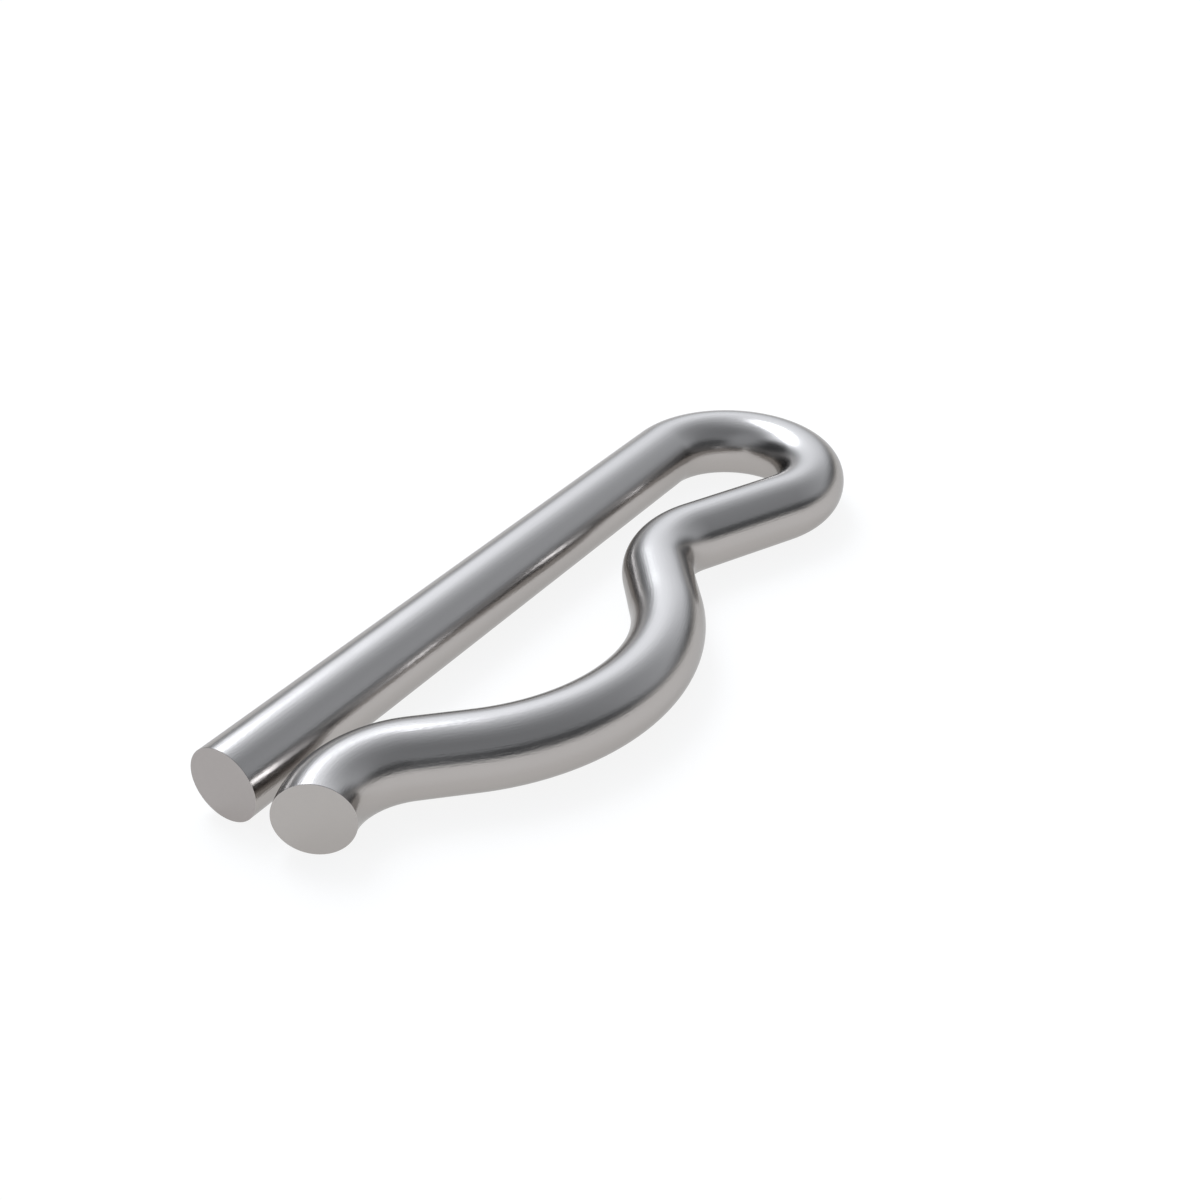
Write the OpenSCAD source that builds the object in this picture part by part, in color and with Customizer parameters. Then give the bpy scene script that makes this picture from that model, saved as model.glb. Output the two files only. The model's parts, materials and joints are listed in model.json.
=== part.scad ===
// Spring cotter pin, also called a hairpin or R-clip, bent cold from one round wire.
//
// The straight leg goes through a cross hole in a shaft. The curved leg springs open as the
// pin is pushed on, and its belly then closes on the outside of the shaft and holds it there.
//
// The pin lies flat: every bend is in the XY plane, and the wire is centred on Z = 0.
// The origin is where the axis of the straight leg crosses the axis of the shaft.
// X runs along the straight leg towards the head, and the curved leg lies on the -Y side.
// Sizes are in millimetres and angles in degrees.

/* [Wire] */
// Diameter of the round spring wire
wire_d = 4; // [3:0.5:5]

/* [Shaft] */
// Diameter of the shaft that the belly closes on
shaft_d = 20; // [16:0.5:26]

/* [Straight leg] */
// Length of the straight leg from the middle of the shaft to its cut end
tail_len = 17; // [14:0.5:30]

/* [Gaps to the straight leg] */
// Clear gap between the waist and the straight leg
waist_gap = 2.43; // [1:0.01:4]
// Clear gap between the mouth and the straight leg, which the shaft springs open
mouth_gap = 0.6; // [0.2:0.01:2]

/* [Bends] */
// Inside radius of the round head
head_bend = 3; // [2:0.5:5]
// Inside radius of the waist, where the curved leg turns out to go round the shaft
waist_bend = 3; // [2:0.5:5]
// Inside radius of the mouth, where the curved leg turns out again as a lead-in
mouth_bend = 3; // [2:0.5:5]
// Angle between the flared end and the straight leg
flare_angle = 28.4; // [15:0.2:60]

/* [Straight runs between the bends] */
// Run from the head to the waist
head_run = 6.45; // [2.5:0.01:15]
// Run from the waist to the belly
waist_run = 3.32; // [1:0.01:8]
// Run from the belly to the mouth
mouth_run = 3; // [1:0.01:8]

/* [Hidden] */
$fn = 96;

// The side that a bend turns to, as the wire is followed from the leg's cut end
LEFT = 1;
RIGHT = -1;

// Angle by which a bend is swept too far before it is cut off square
OVERSWEEP = 5;

// Bend radii, along the middle of the wire
head_r = head_bend + wire_d / 2;
waist_r = waist_bend + wire_d / 2;
belly_r = shaft_d / 2 + wire_d / 2;
mouth_r = mouth_bend + wire_d / 2;

// Drop from the straight leg's axis to the middle of each bend. The head starts from the leg,
// and the waist and the mouth keep their gaps to it. The belly's drop is 0, because it goes
// round the shaft, and the leg runs through the shaft's middle.
head_drop = head_r;
waist_drop = wire_d + waist_gap + waist_r;
mouth_drop = wire_d + mouth_gap + mouth_r;

// Neighbouring bends turn opposite ways, and the straight run between them touches both
// circles. The two functions take the sum of their radii, the length of the run and the
// difference of their drops.
//
// Distance between the middles of the two bends, measured along the straight leg
function reach(radii, run, drop) = sqrt(radii ^ 2 + run ^ 2 - drop ^ 2);
// Angle between the run and the straight leg
function lean(radii, run, drop) = atan2(radii, run) - asin(drop / norm([radii, run]));

head_reach = reach(head_r + waist_r, head_run, waist_drop - head_drop);
waist_reach = reach(waist_r + belly_r, waist_run, waist_drop);

// The runs lean towards the straight leg, away from it and towards it again
head_lean = lean(head_r + waist_r, head_run, waist_drop - head_drop);
waist_lean = lean(waist_r + belly_r, waist_run, waist_drop);
mouth_lean = lean(belly_r + mouth_r, mouth_run, mouth_drop);

// Straight piece of wire along X. What follows it goes on from its far end.
module straight(length) {
    rotate([0, 90, 0])
        cylinder(d = wire_d, h = length);
    translate([length, 0, 0])
        children();
}

// Piece of wire that starts along X and turns to one side, and what follows it.
// It ends on the plane that the next piece starts from, so the two meet face to face.
module bend(radius, side, angle) {
    module far_end() {
        rotate([0, 0, side * angle])
            translate([0, -side * radius, 0])
                children();
    }
    translate([0, side * radius, 0]) {
        difference() {
            mirror([0, side == RIGHT ? 1 : 0, 0])
                rotate([0, 0, -90])
                    rotate_extrude(angle = angle + OVERSWEEP)
                        translate([radius, 0])
                            circle(d = wire_d);
            far_end()
                translate([0, -wire_d, -wire_d])
                    cube(2 * wire_d);
        }
        far_end()
            children();
    }
}

// The pin is written as a wire bender makes it, one straight and one bend at a time.
module cotter_pin() {
    color("silver")
        translate([-tail_len, 0, 0])
            straight(tail_len + waist_reach + head_reach)
            bend(head_r, RIGHT, 180 + head_lean)
            straight(head_run)
            bend(waist_r, LEFT, head_lean + waist_lean)
            straight(waist_run)
            bend(belly_r, RIGHT, waist_lean + mouth_lean)
            straight(mouth_run)
            bend(mouth_r, LEFT, mouth_lean + flare_angle);
}

cotter_pin();
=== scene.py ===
# %% [markdown]
# # A spring cotter pin
#
# A spring cotter is one length of bright round steel wire, bent cold. The straight leg goes
# through a hole in a shaft. The curved leg springs over the shaft, and its belly holds on to it.
#
# There is only one piece to model, so everything rests on three things: clean bends, the way
# drawn wire softens a reflection, and what the wire has to reflect. After the camera, the
# cells go in that order.

import json
import math

import bmesh
import bpy
from mathutils import Matrix, Vector


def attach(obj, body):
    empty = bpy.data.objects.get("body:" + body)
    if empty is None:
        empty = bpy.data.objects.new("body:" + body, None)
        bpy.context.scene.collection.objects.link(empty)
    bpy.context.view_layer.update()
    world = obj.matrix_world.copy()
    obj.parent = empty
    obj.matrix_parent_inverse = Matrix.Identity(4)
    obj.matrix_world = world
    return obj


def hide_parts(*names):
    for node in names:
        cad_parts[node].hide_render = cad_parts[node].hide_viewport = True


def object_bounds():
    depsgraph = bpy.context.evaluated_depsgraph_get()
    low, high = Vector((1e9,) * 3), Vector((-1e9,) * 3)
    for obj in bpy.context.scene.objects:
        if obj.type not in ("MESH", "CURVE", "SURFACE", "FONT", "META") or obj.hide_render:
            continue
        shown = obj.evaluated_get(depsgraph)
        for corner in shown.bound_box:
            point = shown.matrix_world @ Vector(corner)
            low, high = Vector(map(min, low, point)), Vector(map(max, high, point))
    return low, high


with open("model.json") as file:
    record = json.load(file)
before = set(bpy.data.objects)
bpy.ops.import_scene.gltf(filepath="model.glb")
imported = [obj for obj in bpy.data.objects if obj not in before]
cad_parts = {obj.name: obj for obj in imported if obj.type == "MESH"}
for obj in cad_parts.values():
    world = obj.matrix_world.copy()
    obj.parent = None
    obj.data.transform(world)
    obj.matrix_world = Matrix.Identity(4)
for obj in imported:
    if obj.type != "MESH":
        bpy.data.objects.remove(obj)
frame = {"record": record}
cad_low, cad_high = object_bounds()
mounts = {mount["name"]: mount["dims"] for mount in frame["record"]["mounts"]}
print("CAD box, mm:", [round(1000 * side, 2) for side in cad_high - cad_low])

# %% [markdown]
# ## The camera
#
# A normal lens, 50 mm on a 36 mm sensor, looks down on the pin from the side of its cut ends. It
# aims at the middle of the pin. Its distance is a multiple of the pin's own diagonal, so the
# pin would fill as much of the view if its size in the CAD changed.
#
# The pin is small, so the camera stands only 9 cm away. Blender leaves out what lies closer than
# 10 cm to a new camera, so that limit comes down too.

# %% Camera
MM = 0.001

CAMERA_AZIMUTH = math.radians(-58)
CAMERA_ELEVATION = math.radians(31.2)
CAMERA_DIAGONALS = 1.8
LENS, SENSOR = 50, 36
NEAREST_SEEN = 5 * MM


def direction(azimuth, elevation):
    """Unit vector from the pin to a place around it. Azimuth 0 is on the -Y side."""
    level = math.cos(elevation)
    return Vector((math.sin(azimuth) * level, -math.cos(azimuth) * level, math.sin(elevation)))


pin_middle = (cad_low + cad_high) / 2
camera_distance = CAMERA_DIAGONALS * (cad_high - cad_low).length
to_camera = direction(CAMERA_AZIMUTH, CAMERA_ELEVATION)

camera = bpy.data.objects.new("camera", bpy.data.cameras.new("camera"))
bpy.context.scene.collection.objects.link(camera)
bpy.context.scene.camera = camera
camera.data.lens = LENS
camera.data.sensor_width = SENSOR
camera.data.clip_start = NEAREST_SEEN
camera.location = pin_middle + to_camera * camera_distance
camera.rotation_euler = (-to_camera).to_track_quat("-Z", "Y").to_euler()
print("camera distance, mm:", round(camera_distance / MM, 1))

# %% [markdown]
# ## What the wire bender is told
#
# Wire is bent by numbers: how far to feed it, then how far to turn it, and round what radius. The
# frame gives the wire and the shaft, as the sizes of the pin's two mounts. The bend radii, the
# straight runs between bends and the gaps to the straight leg are named here.
#
# The turns follow from those. Each run touches the bends at both its ends, the waist and the
# mouth keep their gaps to the straight leg, and the belly goes round the middle of the shaft.

# %% Wire, shaft and leg
wire_r = mounts["shank"]["r_mm"] * MM
leg_length = mounts["shank"]["length_mm"] * MM
shaft_r = mounts["shaft_seat"]["r_mm"] * MM
print("wire, shaft and leg, mm:", [round(size / MM, 2) for size in (2 * wire_r, 2 * shaft_r, leg_length)])

# %% Bends, runs and gaps
TIGHT_BEND = 3 * MM

head_r = waist_r = mouth_r = TIGHT_BEND + wire_r
belly_r = shaft_r + wire_r

head_run = 6.45 * MM
waist_run = 3.32 * MM
mouth_run = 3 * MM

waist_gap = 2.43 * MM
mouth_gap = 0.6 * MM
flare = math.radians(28.4)


def lean(radii, run, drop):
    """Angle between the straight leg and a run between two bends that turn opposite ways.

    radii is the sum of their radii, and drop is how much further from the leg the second one is.
    """
    return math.atan2(radii, run) - math.asin(drop / math.hypot(radii, run))


waist_drop = 2 * wire_r + waist_gap + waist_r
mouth_drop = 2 * wire_r + mouth_gap + mouth_r
head_lean = lean(head_r + waist_r, head_run, waist_drop - head_r)
waist_lean = lean(waist_r + belly_r, waist_run, waist_drop)
mouth_lean = lean(belly_r + mouth_r, mouth_run, mouth_drop)
print("runs lean, degrees:", [round(math.degrees(a), 1) for a in (head_lean, waist_lean, mouth_lean)])

# %% The plan, from the leg's cut end to the flared end
LEFT, RIGHT = 1, -1

plan = [
    ("feed", leg_length),
    ("turn", math.pi + head_lean, head_r, RIGHT),
    ("feed", head_run),
    ("turn", head_lean + waist_lean, waist_r, LEFT),
    ("feed", waist_run),
    ("turn", waist_lean + mouth_lean, belly_r, RIGHT),
    ("feed", mouth_run),
    ("turn", mouth_lean + flare, mouth_r, LEFT),
]
for move, amount, *_ in plan:
    print(move, f"{amount / MM:.2f} mm" if move == "feed" else f"{math.degrees(amount):.1f} degrees")

# %% [markdown]
# ## Bending the wire
#
# A curve object with a round bevel would give this shape quickly. A mesh that is made with the
# wire bender's own moves gives something more: each point can be told where it was while the
# wire was still straight. That place is stored as the attribute `drawn_wire`, and the steel's
# pattern is laid out on it later, so the fine lines from the drawing die follow every bend.
#
# The wire starts as a circle at the leg's cut end. A feed extrudes the last ring of points, and
# a turn spins it round the middle of the bend, a small step at a time. A second attribute,
# `bend_strain`, says how much a turn stretched the steel on its outer side, or squeezed it on
# its inner side. It is 0 along the middle of the wire and in the straight runs.

# %% The first ring
AROUND = 128

wire = bmesh.new()
drawn = wire.verts.layers.float_vector.new("drawn_wire")
strain = wire.verts.layers.float.new("bend_strain")

# The head touches the far end of the CAD box, which puts the cut end one head and one leg back.
leg_end = Vector((cad_high.x - wire_r - head_r - leg_length, 0, 0))
bmesh.ops.create_circle(
    wire,
    cap_ends=True,
    segments=AROUND,
    radius=wire_r,
    matrix=Matrix.Translation(leg_end) @ Matrix.Rotation(math.pi / 2, 4, "Y"),
)
for point in wire.verts:
    point[drawn] = point.co - leg_end
ring = list(wire.edges)
print("cut end at X, mm:", round(leg_end.x / MM, 2))

# %% Feed
FEED_STEP = 1 * MM


def points_of(ring):
    return {point for edge in ring for point in edge.verts}


def move_along(ring, length):
    """Writes on the points of a new ring that they lie this much further along the wire."""
    for point in points_of(ring):
        point[drawn] = point[drawn] + Vector((length, 0, 0))


def feed(ring, length, heading):
    """Pushes the wire straight on, and returns its last ring."""
    steps = math.ceil(length / FEED_STEP)
    for _ in range(steps):
        made = bmesh.ops.extrude_edge_only(wire, edges=ring)["geom"]
        points = {part for part in made if isinstance(part, bmesh.types.BMVert)}
        bmesh.ops.translate(wire, verts=list(points), vec=heading * length / steps)
        edges = [part for part in made if isinstance(part, bmesh.types.BMEdge)]
        ring = [edge for edge in edges if points.issuperset(edge.verts)]
        move_along(ring, length / steps)
    return ring


# %% Turn
TURN_STEP = math.radians(2)
STRAIN_FADE = math.radians(12)


def turn(ring, angle, radius, side, middle):
    """Bends the wire round the middle of a bend, and returns its last ring."""
    steps = math.ceil(angle / TURN_STEP)
    for step in range(1, steps + 1):
        made = bmesh.ops.spin(
            wire,
            geom=ring,
            cent=middle,
            axis=(0, 0, side),
            angle=angle / steps,
            steps=1,
        )["geom_last"]
        ring = [part for part in made if isinstance(part, bmesh.types.BMEdge)]
        move_along(ring, radius * angle / steps)
        from_straight = min(step, steps - step) * angle / steps
        for point in points_of(ring):
            from_axis = abs(math.hypot(point.co.x - middle.x, point.co.y - middle.y) - radius)
            point[strain] = from_axis / radius * min(1, from_straight / STRAIN_FADE)
    return ring


# %% Follow the plan
place = leg_end
heading = Vector((1, 0, 0))

for move, amount, *bend in plan:
    if move == "feed":
        ring = feed(ring, amount, heading)
        place = place + heading * amount
    else:
        radius, side = bend
        middle = place + Vector((-heading.y, heading.x, 0)) * side * radius
        ring = turn(ring, amount, radius, side, middle)
        swing = Matrix.Rotation(side * amount, 3, "Z")
        place = middle + swing @ (place - middle)
        heading = swing @ heading

wire_length = max(point[drawn].x for point in wire.verts)
print("wire used, mm:", round(wire_length / MM, 2))
print("flared end at, mm:", [round(side / MM, 2) for side in place])

# %% [markdown]
# ## The cut ends
#
# The wire was sheared off square, and its ends weren't ground round: the faces are flat, and
# their rims are crisp. No real rim is perfectly sharp, though, and a bevel of two hundredths of
# a millimetre catches a thin line of light from close up.
#
# Everything but the two flat faces is shaded smooth. Smooth shading would also blend the bevel
# into the last millimetre of the wire, and bend its reflections there, so the edges where the
# bevel ends are marked sharp. The flat faces get a second material slot, because sheared steel
# is duller than drawn steel.

# %% Close and bevel the ends
RIM = 0.02 * MM
RIM_SEGMENTS = 3
SAME_POINT = RIM / 20

leg_cap = next(face for face in wire.faces if len(face.verts) == AROUND)
flared_cap = bmesh.ops.contextual_create(wire, geom=ring)["faces"][0]
bevelled = bmesh.ops.bevel(
    wire,
    geom=[*leg_cap.edges, *flared_cap.edges],
    offset=RIM,
    offset_type="OFFSET",
    affect="EDGES",
    segments=RIM_SEGMENTS,
    profile=0.5,
    material=-1,
)["faces"]
for face in bevelled:
    for edge in face.edges:
        edge.smooth = set(bevelled).issuperset(edge.link_faces)
bmesh.ops.remove_doubles(wire, verts=wire.verts, dist=SAME_POINT)
bmesh.ops.recalc_face_normals(wire, faces=wire.faces)

for face in wire.faces:
    is_cap = len(face.verts) == AROUND
    face.smooth = not is_cap
    face.material_index = int(is_cap)
volume = wire.calc_volume()
print("volume of the mesh, mm3:", round(volume / MM**3, 1))
print("volume of that much wire, mm3:", round(math.pi * wire_r**2 * wire_length / MM**3, 1))

# %% The pin, in the place of its CAD node
pin_mesh = bpy.data.meshes.new("cotter_pin_wire")
wire.to_mesh(pin_mesh)
wire.free()
pin = bpy.data.objects.new("cotter_pin_wire", pin_mesh)
bpy.context.scene.collection.objects.link(pin)

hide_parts("cotter_pin")
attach(pin, "root")
print("faces:", len(pin_mesh.polygons))

# %% [markdown]
# ## Materials: three small helpers
#
# Colours are written as hex values, as a paint or screen colour is, but Blender counts light
# evenly, so one function turns them into linear values. A second function adds a node, sets it
# and links it, and a third starts a material with its Principled shader.

# %% Material helpers


def linear(hex_colour):
    """An sRGB hex colour as linear red, green, blue and alpha."""
    channels = [int(hex_colour[i : i + 2], 16) / 255 for i in (1, 3, 5)]
    return [c / 12.92 if c <= 0.04045 else ((c + 0.055) / 1.055) ** 2.4 for c in channels] + [1]


def add(tree, kind, inputs=None, output=0, **settings):
    """Adds a node and returns one of its outputs. Each input gets a link or a plain value."""
    node = tree.nodes.new("ShaderNode" + kind)
    for name, value in settings.items():
        setattr(node, name, value)
    for name, value in (inputs or {}).items():
        if isinstance(value, bpy.types.NodeSocket):
            tree.links.new(value, node.inputs[name])
        else:
            node.inputs[name].default_value = value
    return node.outputs[output]


def new_material(name):
    """A material, its node tree and the inputs of its Principled shader."""
    material = bpy.data.materials.new(name)
    material.use_nodes = True
    return material, material.node_tree, material.node_tree.nodes["Principled BSDF"].inputs


print("middle grey #808080 gives back this much light:", round(linear("#808080")[0], 3))

# %% [markdown]
# ## Bright drawn spring steel
#
# The wire was pulled cold through a die and then polished. The die leaves long lines along the
# wire, and the polish leaves a fine grain of short strokes between them. Both are only seen from
# close up. Together they make a mirror that is slightly out of focus: reflections keep their
# shape, with soft edges that break up a little where a bright lamp ends.
#
# Both patterns are noise laid out on `drawn_wire`, which is turned to millimetres first, so every
# scale below is a real size. Both are stretched along the wire, the lines far more than the
# grain. A bump node turns each height into tilt, because that is what scatters a reflection.

# %% Steel: where each point was on the straight wire
drawn_steel, tree, steel = new_material("bright_drawn_spring_steel")

place_on_wire = add(tree, "Attribute", output="Vector", attribute_name="drawn_wire")
in_mm = add(tree, "VectorMath", {"Vector": place_on_wire, "Scale": 1 / MM}, operation="SCALE")
print("wire coordinates run to, mm:", round(wire_length / MM, 1))

# %% Steel: die lines and polished grain
# Real ones are a few hundredths of a millimetre wide, too fine to show, so they are drawn coarser.
GRAIN_WIDTH = 0.08
GRAIN_LENGTH = 0.3
GRAIN_DEPTH = 0.004
LINE_WIDTH = 0.1
LINE_LENGTH = 12
LINE_DEPTH = 0.0035

grain_shape = (1 / GRAIN_LENGTH, 1 / GRAIN_WIDTH, 1 / GRAIN_WIDTH)
short_way = add(tree, "Mapping", {"Vector": in_mm, "Scale": grain_shape})
grain = add(tree, "TexNoise", {"Vector": short_way, "Scale": 1, "Detail": 2})
line_shape = (1 / LINE_LENGTH, 1 / LINE_WIDTH, 1 / LINE_WIDTH)
long_way = add(tree, "Mapping", {"Vector": in_mm, "Scale": line_shape})
lines = add(tree, "TexNoise", {"Vector": long_way, "Scale": 1, "Detail": 3})

grained = add(tree, "Bump", {"Height": grain, "Distance": GRAIN_DEPTH * MM, "Strength": 1})
lined = add(
    tree,
    "Bump",
    {"Height": lines, "Distance": LINE_DEPTH * MM, "Strength": 1, "Normal": grained},
)
tree.links.new(lined, steel["Normal"])
print("grain, mm:", GRAIN_WIDTH, "by", GRAIN_LENGTH, "and lines, mm:", LINE_WIDTH, "by", LINE_LENGTH)

# %% [markdown]
# Polish is never quite even. Where the wire was handled it is a little hazier, in patches of a
# millimetre or two, and where a bend stretched or squeezed the steel its grains stand up and
# dull it. Both only change the roughness, so they don't show as spots, and the reflection just
# goes in and out of focus.

# %% Steel: haze and strained bends
HAZE_WIDTH = 1.6
HAZE_ROUGHNESS = (0.17, 0.21)
STRAIN_ROUGHNESS = 0.06

# Noise runs from 0 to 1, but nearly all of it lies between these two values.
NOISE_SPREAD = {"From Min": 0.3, "From Max": 0.7}

haze = add(tree, "TexNoise", {"Vector": in_mm, "Scale": 1 / HAZE_WIDTH, "Detail": 3})
rough = add(
    tree,
    "MapRange",
    {
        "Value": haze,
        **NOISE_SPREAD,
        "To Min": HAZE_ROUGHNESS[0],
        "To Max": HAZE_ROUGHNESS[1],
    },
)
strained = add(tree, "Attribute", output="Fac", attribute_name="bend_strain")
rough = add(tree, "Math", {0: strained, 1: STRAIN_ROUGHNESS, 2: rough}, operation="MULTIPLY_ADD")
tree.links.new(rough, steel["Roughness"])
most_strained = HAZE_ROUGHNESS[1] + STRAIN_ROUGHNESS * wire_r / head_r
print("roughness:", HAZE_ROUGHNESS, "and in the tight bends up to", round(most_strained, 3))

# %% [markdown]
# The colour of a metal is the colour of its reflection. This steel is a warm mid grey. The
# tint is the same thing for the rim, where any metal would reflect almost everything: spring
# steel has a thin oxide film that keeps its rims greyer than that.

# %% Steel: colour
DRAWN_COLOUR = "#AFABA8"
RIM_TINT = "#DDDDDD"

steel["Metallic"].default_value = 1
steel["Base Color"].default_value = linear(DRAWN_COLOUR)
steel["Specular Tint"].default_value = linear(RIM_TINT)
pin_mesh.materials.append(drawn_steel)
print("steel, linear:", [round(c, 3) for c in linear(DRAWN_COLOUR)[:3]])

# %% [markdown]
# ## Sheared spring steel
#
# A shear blade first presses into the wire and rubs that part of the cut smooth, and then the
# rest breaks away. So a cut face is flat and even, with faint lines the way the blade went, and
# it is duller than the drawn wire. It doesn't mirror the room, but takes on one soft grey. The
# leg's end is painted a darker grey and the flared end a lighter one. This is painted shade and
# painted light for the different parts of the room that the two faces would show.
#
# The faces have no bends to follow, but `drawn_wire` serves here too: its second and third
# numbers are the place on the round section, and the first one tells which of the two ends it is.

# %% Cut faces
sheared_steel, tree, cut = new_material("sheared_spring_steel")

# Painted shade on the leg's cut face and painted light on the flared one: the steel of both is the same.
LEG_CUT_SHADED_COLOUR = "#A49F9D"
FLARED_CUT_LIT_COLOUR = "#AFABA8"
BLADE_LINE_WIDTH = 0.1
BLADE_LINE_LENGTH = 2.5
BLADE_LINE_DEPTH = 0.002
TORN_GRAIN = 0.25
CUT_ROUGHNESS = (0.3, 0.36)

place_on_wire = add(tree, "Attribute", output="Vector", attribute_name="drawn_wire")
in_mm = add(tree, "VectorMath", {"Vector": place_on_wire, "Scale": 1 / MM}, operation="SCALE")
line_shape = (1, 1 / BLADE_LINE_LENGTH, 1 / BLADE_LINE_WIDTH)
blade_way = add(tree, "Mapping", {"Vector": in_mm, "Scale": line_shape})
blade_lines = add(tree, "TexNoise", {"Vector": blade_way, "Scale": 1, "Detail": 2})
scored = add(tree, "Bump", {"Height": blade_lines, "Distance": BLADE_LINE_DEPTH * MM, "Strength": 1})
torn = add(tree, "TexNoise", {"Vector": in_mm, "Scale": 1 / TORN_GRAIN, "Detail": 3})
rough = add(
    tree,
    "MapRange",
    {
        "Value": torn,
        **NOISE_SPREAD,
        "To Min": CUT_ROUGHNESS[0],
        "To Max": CUT_ROUGHNESS[1],
    },
)
# Which end a point is on picks the painted shade for the leg's cut face or the painted light for the
# flared one.
from_leg_end = add(tree, "SeparateXYZ", {"Vector": in_mm}, output="X")
is_flared = add(tree, "Math", {0: from_leg_end, 1: leg_length / MM}, operation="GREATER_THAN")
# Inputs 0, 6 and 7 of a Mix node are its factor and its two colours, and output 2 is a colour.
shaded_and_lit_ends = {0: is_flared, 6: linear(LEG_CUT_SHADED_COLOUR), 7: linear(FLARED_CUT_LIT_COLOUR)}
colour = add(tree, "Mix", shaded_and_lit_ends, output=2, data_type="RGBA")

tree.links.new(scored, cut["Normal"])
tree.links.new(rough, cut["Roughness"])
tree.links.new(colour, cut["Base Color"])
cut["Metallic"].default_value = 1
pin_mesh.materials.append(sheared_steel)
print("materials on the pin:", [material.name for material in pin_mesh.materials])

# %% [markdown]
# ## The table
#
# Small metal parts are often shown on a sheet of opal acrylic that is lit from below: it stays
# white all the way to the edges, and only a faint shadow is left under the part.
#
# So the table has two sides to it. Its own colour is a middle grey, which takes the shadow. Its
# glow makes up the rest of the white, for the rays that look at it: straight from the camera,
# in a reflection or through glass. It gives the pin no light of its own.

# %% Table top
TABLE_RADIUS = 0.6
TABLE_SIDES = 96

table_top = bmesh.new()
bmesh.ops.create_circle(table_top, cap_ends=True, segments=TABLE_SIDES, radius=TABLE_RADIUS)
bmesh.ops.translate(table_top, verts=table_top.verts, vec=(pin_middle.x, pin_middle.y, cad_low.z))
table_mesh = bpy.data.meshes.new("table")
table_top.to_mesh(table_mesh)
table_top.free()
table = bpy.data.objects.new("table", table_mesh)
bpy.context.scene.collection.objects.link(table)
print("table at Z, mm:", round(cad_low.z / MM, 2))

# %% Opal acrylic, lit from below
OPAL_COLOUR = "#757575"
OPAL_GLOW = 0.85

opal, tree, sheet = new_material("opal_acrylic_lit_from_below")
rays = add(tree, "LightPath").node.outputs
seen = add(tree, "Math", {0: rays["Is Camera Ray"], 1: rays["Is Glossy Ray"]}, operation="MAXIMUM")
seen = add(tree, "Math", {0: seen, 1: rays["Is Transmission Ray"]}, operation="MAXIMUM")
glow = add(tree, "Math", {0: seen, 1: OPAL_GLOW}, operation="MULTIPLY")
tree.links.new(glow, sheet["Emission Strength"])
sheet["Emission Color"].default_value = linear("#FFFFFF")
sheet["Base Color"].default_value = linear(OPAL_COLOUR)
sheet["Roughness"].default_value = 1
sheet["Specular IOR Level"].default_value = 0
table_mesh.materials.append(opal)
print("table's own colour, linear:", round(linear(OPAL_COLOUR)[0], 3), "and its glow:", OPAL_GLOW)

# %% [markdown]
# ## The studio
#
# Polished steel has hardly any look of its own. What the eye sees on it is the room: a bright
# stripe is a lamp, and a dark stripe is something black that stands beside it. Lamps alone would
# leave the steel black between their reflections, so the whole room is painted on the world.
#
# It is a grey room, and soft oval panels are laid on it one after another, the later ones over
# the earlier ones: a lit wall behind the pin, a round softbox high up in it with its spill, and
# black cards near the horizon that draw the dark line along the wire. Below them the white
# of the table carries on.
#
# A brightness of 1 is white paper. The panels are chosen so that all the light that comes down on
# the table also adds up to about 1, and then a colour renders about as it is written.

# %% Room and panels
ROOM = 0.36
DAYLIGHT = (0.94, 1, 1.08)

# Each panel: angle round the pin from the camera, height, half width, half height and tilt, all
# in degrees, then how soft its edge is, from 0 to 1, and its brightness.
PANELS = {
    "lit wall": (170, 44, 64, 34, 32, 0.75, 1.43),
    "ceiling": (205, 88, 58, 28, 10, 0.75, 0.24),
    "wide spill": (-152, 55, 30, 32, 0, 0.85, 1.1),
    "low spill": (-152, 38, 35, 19.5, 12, 0.6, 1.9),
    "softbox": (-150, 48.9, 11.8, 15.2, -3, 0.5, 10),
    "black card left": (-90, 22, 69.5, 16.6, -1, 0.33, 0.06),
    "black card right": (51, 18.5, 80, 12, -9, 0.5, 0.11),
    "black card behind": (133, -9.5, 34, 27, -4, 0.35, 0.03),
    "gap between cards": (-34, 34, 35, 21, -25, 0.6, 0.5),
}

studio = bpy.data.worlds.new("studio")
bpy.context.scene.world = studio
studio.use_nodes = True
tree = studio.node_tree
towards = add(tree, "TexCoord", output="Generated")
towards = add(tree, "VectorMath", {0: towards}, operation="NORMALIZE")
room_light = [ROOM * part for part in DAYLIGHT] + [1]
print("panels:", ", ".join(PANELS))

# %% A soft oval panel
PANEL_BACK = 0.35


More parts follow.
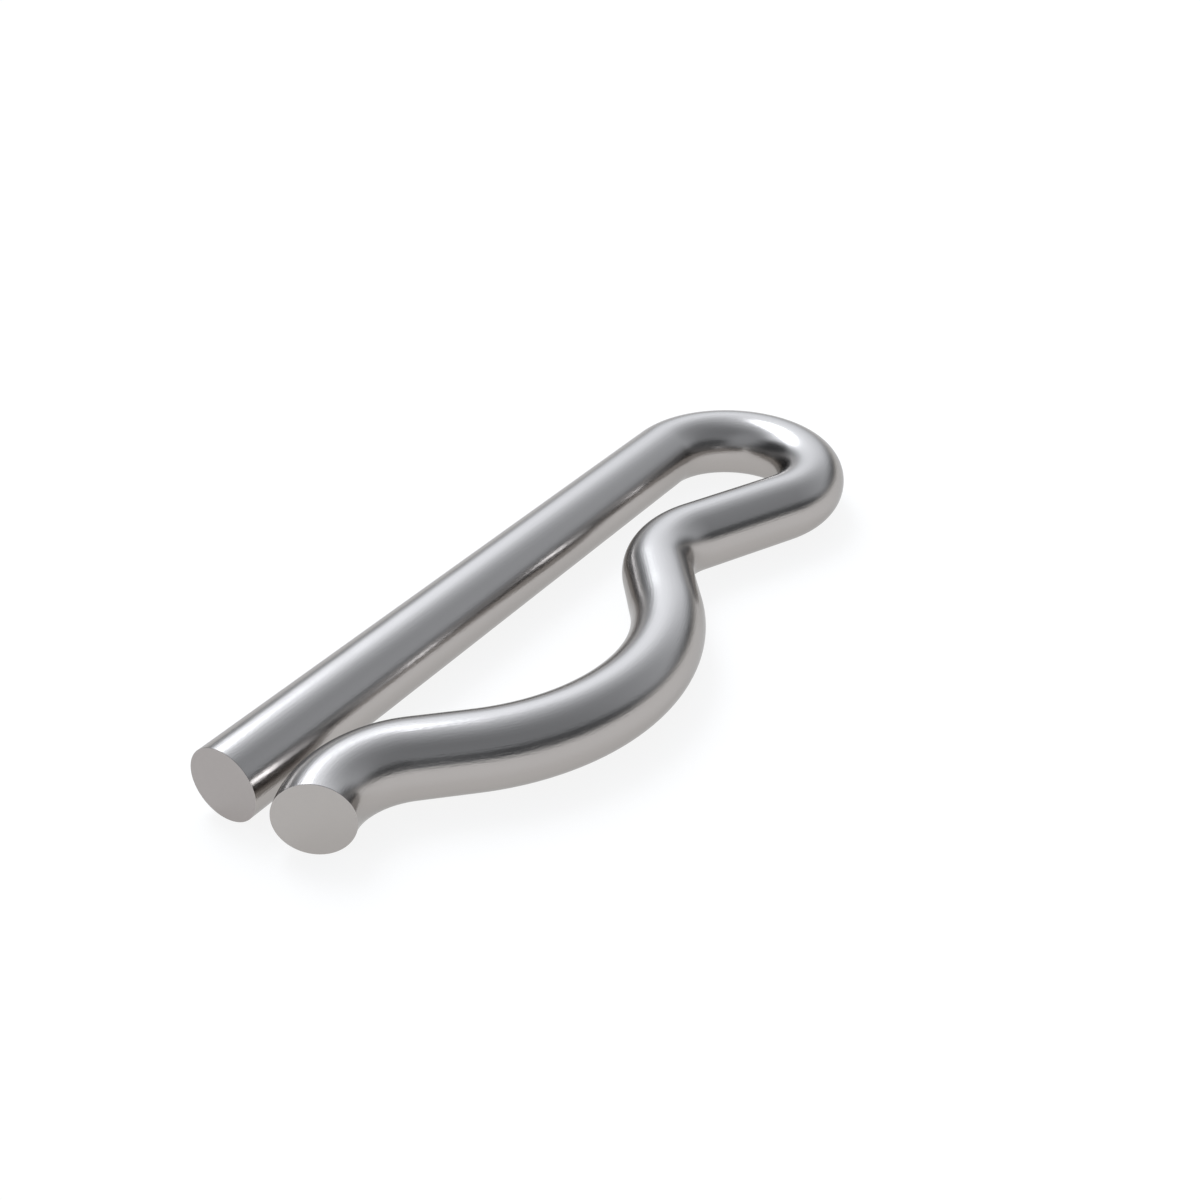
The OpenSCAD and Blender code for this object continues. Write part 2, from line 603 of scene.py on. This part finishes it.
def across(axis):
    """How far a direction of view lies along an axis, from -1 to 1."""
    return add(tree, "VectorMath", {0: towards, 1: axis}, output="Value", operation="DOT_PRODUCT")


def fade(value, off, on):
    """A mask that goes smoothly from 0 to 1 as the value goes from off to on."""
    limits = {"Value": value, "From Min": off, "From Max": on}
    return add(tree, "MapRange", limits, interpolation_type="SMOOTHSTEP")


def lay_over(light, mask, colour):
    """Mixes in a colour, as the cut faces do."""
    return add(tree, "Mix", {0: mask, 6: light, 7: colour}, output=2, data_type="RGBA")


def lay_panel(light, angle, height, half_width, half_height, tilt, softness, brightness):
    angle, height, half_width, half_height, tilt = map(
        math.radians, (angle, height, half_width, half_height, tilt)
    )
    facing = direction(CAMERA_AZIMUTH + angle, height)
    level = Vector((0, 0, 1)).cross(facing).normalized()
    turned = Matrix.Rotation(tilt, 3, facing)
    sideways = across(turned @ level / math.sin(half_width))
    upwards = across(turned @ facing.cross(level) / math.sin(half_height))
    oval = add(tree, "CombineXYZ", {"X": sideways, "Y": upwards})
    from_middle = add(tree, "VectorMath", {0: oval}, output="Value", operation="LENGTH")
    inside = fade(from_middle, 1 + softness, 1 - softness)
    in_front = fade(across(facing), 0, PANEL_BACK)
    mask = add(tree, "Math", {0: inside, 1: in_front}, operation="MULTIPLY")
    return lay_over(light, mask, [brightness * part for part in DAYLIGHT] + [1])


# %% Paint the room
TABLE_LIGHT_TOP = math.radians(14)
TABLE_LIGHT_BOTTOM = math.radians(-4)

light = room_light
for panel in PANELS.values():
    light = lay_panel(light, *panel)

near_table = fade(across((0, 0, 1)), math.sin(TABLE_LIGHT_TOP), math.sin(TABLE_LIGHT_BOTTOM))
light = lay_over(light, near_table, linear("#FFFFFF"))
tree.links.new(light, tree.nodes["Background"].inputs["Color"])
print("nodes in the world:", len(tree.nodes))

# %% [markdown]
# ## Finish
#
# Standard keeps colours as they are, without the film look that a new file has.

# %% View transform
bpy.context.scene.view_settings.view_transform = "Standard"
